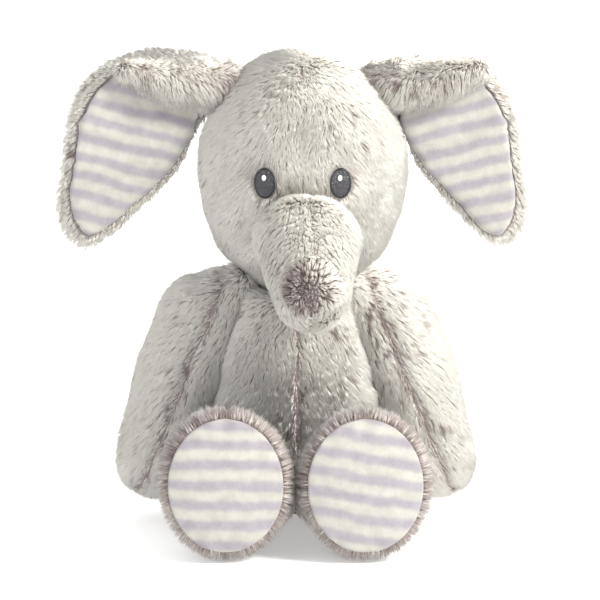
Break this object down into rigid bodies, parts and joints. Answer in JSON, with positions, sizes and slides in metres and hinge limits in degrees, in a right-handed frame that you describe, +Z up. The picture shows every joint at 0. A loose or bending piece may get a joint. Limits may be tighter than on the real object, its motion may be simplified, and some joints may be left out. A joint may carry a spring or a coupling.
{
  "type": "stuffed elephant",
  "caption": "Seated plush elephant with big striped-lined ears, a short forward trunk, hanging arms and oval striped soles.",
  "frame": {"origin": "middle of the flat seat that the toy sits on", "axes": "+Z up, the toy faces -Y, its own left is +X"},
  "size_m": [0.2813, 0.214, 0.2841],
  "materials": {
    "plush": "matte",
    "velour": "matte",
    "thread": "satin",
    "stuffing": "matte",
    "pouch": "matte"
  },
  "bodies": {
    "torso": {"body_front_left": "plush", "body_front_right": "plush", "body_back_left": "plush", "body_back_right": "plush", "torso_stuffing": "stuffing", "seat_pellet_pouch": "pouch"},
    "neck": {"neck_stuffing": "stuffing"},
    "head": {"head_cover_left": "plush", "head_cover_right": "plush", "head_stuffing": "stuffing", "eye_left": "thread", "eye_right": "thread"},
    "trunk": {"trunk_cover_left": "plush", "trunk_cover_right": "plush", "trunk_stuffing": "stuffing"},
    "tail": {"tail_cover": "plush", "tail_stuffing": "stuffing"},
    "ear_left": {"ear_back_left": "plush", "ear_lining_left": "velour"},
    "arm_left": {"arm_outer_left": "plush", "arm_inner_left": "plush", "arm_stuffing_left": "stuffing"},
    "leg_left": {"leg_outer_left": "plush", "leg_inner_left": "plush", "leg_stuffing_left": "stuffing", "sole_left": "velour"},
    "ear_right": {"ear_back_right": "plush", "ear_lining_right": "velour"},
    "arm_right": {"arm_outer_right": "plush", "arm_inner_right": "plush", "arm_stuffing_right": "stuffing"},
    "leg_right": {"leg_outer_right": "plush", "leg_inner_right": "plush", "leg_stuffing_right": "stuffing", "sole_right": "velour"}
  },
  "joints": [
    {"name": "head_turn", "type": "hinge", "parent": "torso", "child": "neck", "pos_m": [0.004, -0.002, 0.158], "axis": [0, 0, 1], "range_deg": [-25, 25], "stiffness_Nm_per_rad": 1.2},
    {"name": "head_nod", "type": "hinge", "parent": "neck", "child": "head", "pos_m": [0.004, -0.002, 0.158], "axis": [1, 0, 0], "range_deg": [-8, 12], "stiffness_Nm_per_rad": 1.6},
    {"name": "trunk_lift", "type": "hinge", "parent": "head", "child": "trunk", "pos_m": [0.005, -0.057, 0.174], "axis": [-1, 0, 0], "range_deg": [-10, 35], "stiffness_Nm_per_rad": 0.35},
    {"name": "tail_lift", "type": "hinge", "parent": "torso", "child": "tail", "pos_m": [0, 0.053, 0.046], "axis": [1, 0, 0], "range_deg": [0, 60], "stiffness_Nm_per_rad": 0.02},
    {"name": "ear_flap_left", "type": "hinge", "parent": "head", "child": "ear_left", "pos_m": [0.041, -0.002, 0.272], "axis": [0.5952, 0, -0.8036], "range_deg": [-15, 25], "stiffness_Nm_per_rad": 0.15},
    {"name": "arm_raise_left", "type": "hinge", "parent": "torso", "child": "arm_left", "pos_m": [0.054, 0.004, 0.117], "axis": [0, -1, 0], "range_deg": [0, 65], "stiffness_Nm_per_rad": 0.6},
    {"name": "leg_lift_left", "type": "hinge", "parent": "torso", "child": "leg_left", "pos_m": [0.0389, -0.06, 0.032], "axis": [-1, 0, 0], "range_deg": [0, 35], "stiffness_Nm_per_rad": 0.8},
    {"name": "ear_flap_right", "type": "hinge", "parent": "head", "child": "ear_right", "pos_m": [-0.033, -0.002, 0.272], "axis": [0.5952, 0, 0.8036], "range_deg": [-15, 25], "stiffness_Nm_per_rad": 0.15},
    {"name": "arm_raise_right", "type": "hinge", "parent": "torso", "child": "arm_right", "pos_m": [-0.054, 0.004, 0.117], "axis": [0, 1, 0], "range_deg": [0, 65], "stiffness_Nm_per_rad": 0.6},
    {"name": "leg_lift_right", "type": "hinge", "parent": "torso", "child": "leg_right", "pos_m": [-0.0389, -0.06, 0.032], "axis": [-1, 0, 0], "range_deg": [0, 35], "stiffness_Nm_per_rad": 0.8}
  ]
}
